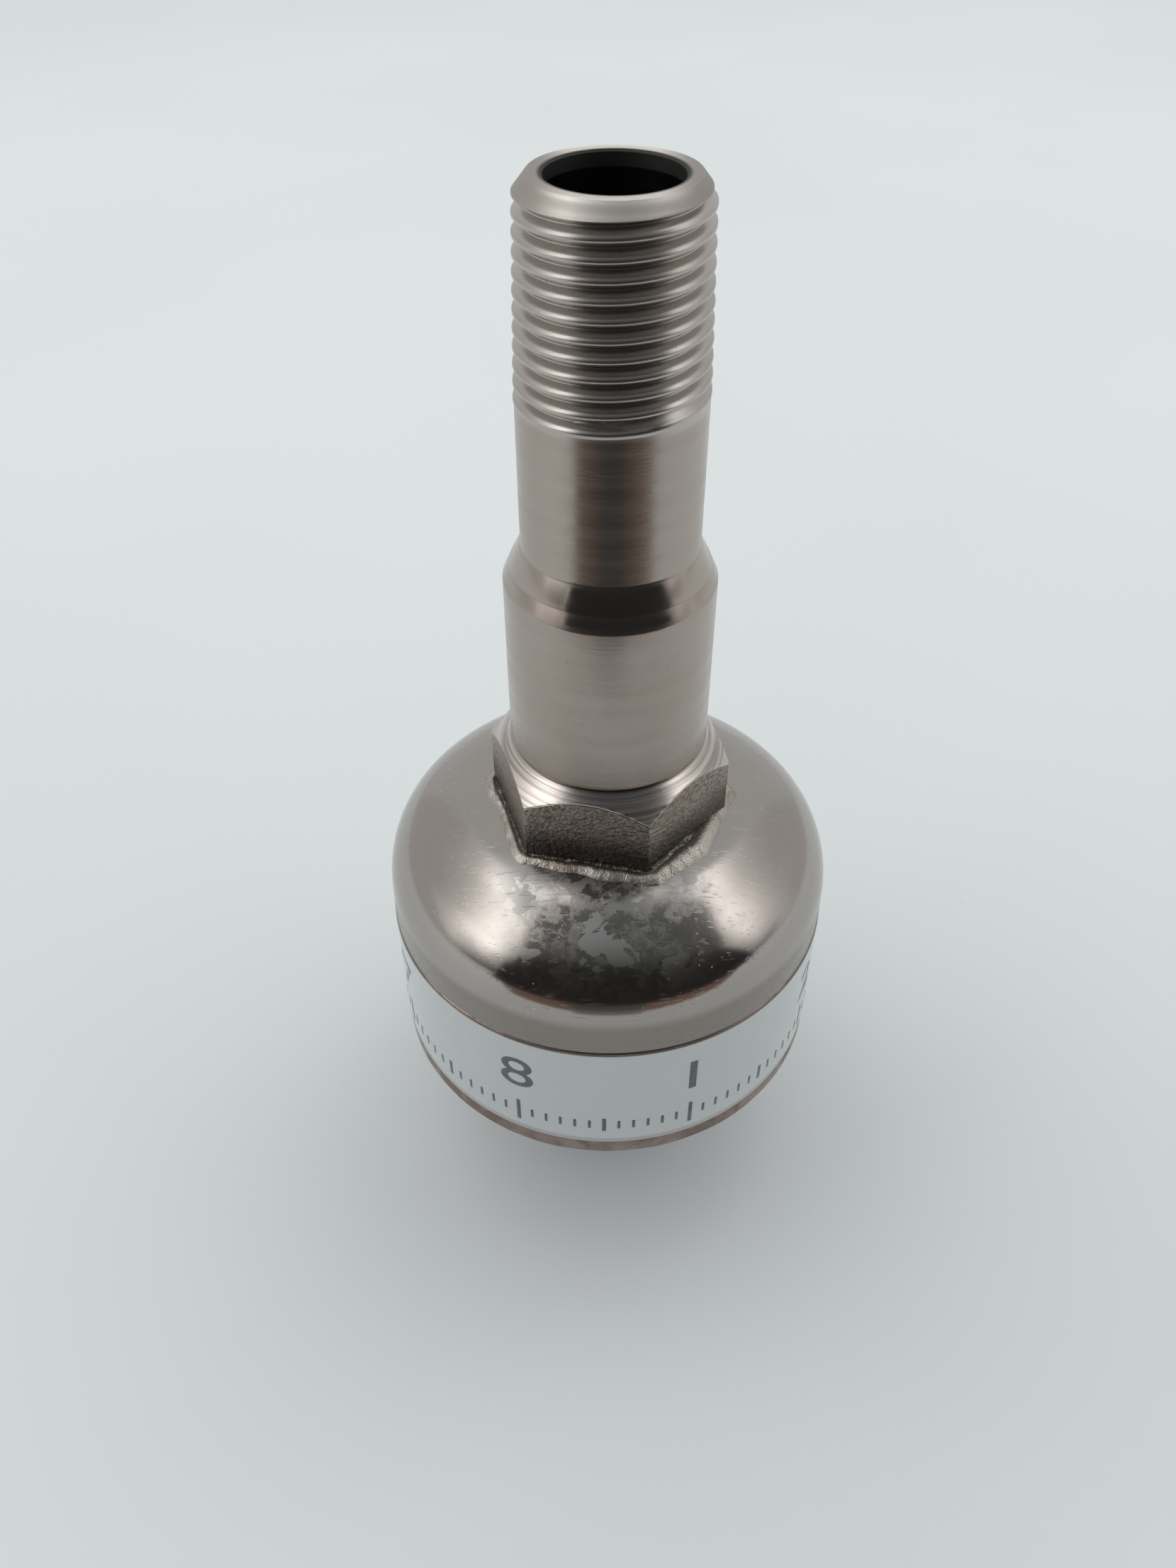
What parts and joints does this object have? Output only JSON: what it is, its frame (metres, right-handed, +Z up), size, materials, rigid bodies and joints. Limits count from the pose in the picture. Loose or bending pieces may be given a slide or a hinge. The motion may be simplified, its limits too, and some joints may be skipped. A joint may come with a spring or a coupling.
{
  "type": "vacuum gauge tube",
  "caption": "Metal-can thermocouple vacuum gauge tube with a tapered-thread gas port on top and an octal plug base below.",
  "frame": {"origin": "centre of the footprint, on the surface that the key post's end stands on", "axes": "+Z up the bore's axis to the open threaded end; the key rib faces -Y"},
  "size_m": [0.031, 0.031, 0.0731],
  "materials": {
    "nickel_fitting": "nickel plated, fine turned lines",
    "nickel_cap": "nickel plated, polished, lightly stained",
    "nickel_sleeve": "nickel plated, dulled and brownish",
    "braze": "grainy, bright",
    "label": "smooth, slightly glossy",
    "header": "satin",
    "glass_seal": "clear, greenish",
    "feed_pin": "satin",
    "fine_wire": "bright drawn wire",
    "lead_wire": "tinned",
    "base_plastic": "moulded, dark brown",
    "contact_pin": "plated, slightly worn",
    "solder": "dull, smooth"
  },
  "bodies": {
    "root": {"threaded_stem": "nickel_fitting", "braze_ring": "braze", "cap_shell": "nickel_cap", "base_sleeve": "nickel_sleeve", "label_band": "label", "header_plate": "header", "glass_seal_1": "glass_seal", "glass_seal_2": "glass_seal", "glass_seal_3": "glass_seal", "glass_seal_4": "glass_seal", "feed_pin_1": "feed_pin", "feed_pin_2": "feed_pin", "feed_pin_3": "feed_pin", "feed_pin_4": "feed_pin", "heater_wire": "fine_wire", "couple_wire_a": "fine_wire", "couple_wire_b": "fine_wire", "junction_bead": "fine_wire", "lead_wire_1": "lead_wire", "lead_wire_2": "lead_wire", "lead_wire_3": "lead_wire", "lead_wire_4": "lead_wire", "base_wafer": "base_plastic", "key_post": "base_plastic", "contact_pin_1": "contact_pin", "contact_pin_2": "contact_pin", "contact_pin_3": "contact_pin", "contact_pin_4": "contact_pin", "contact_pin_5": "contact_pin", "contact_pin_6": "contact_pin", "contact_pin_7": "contact_pin", "contact_pin_8": "contact_pin", "solder_joints": "solder"}
  },
  "joints": []
}
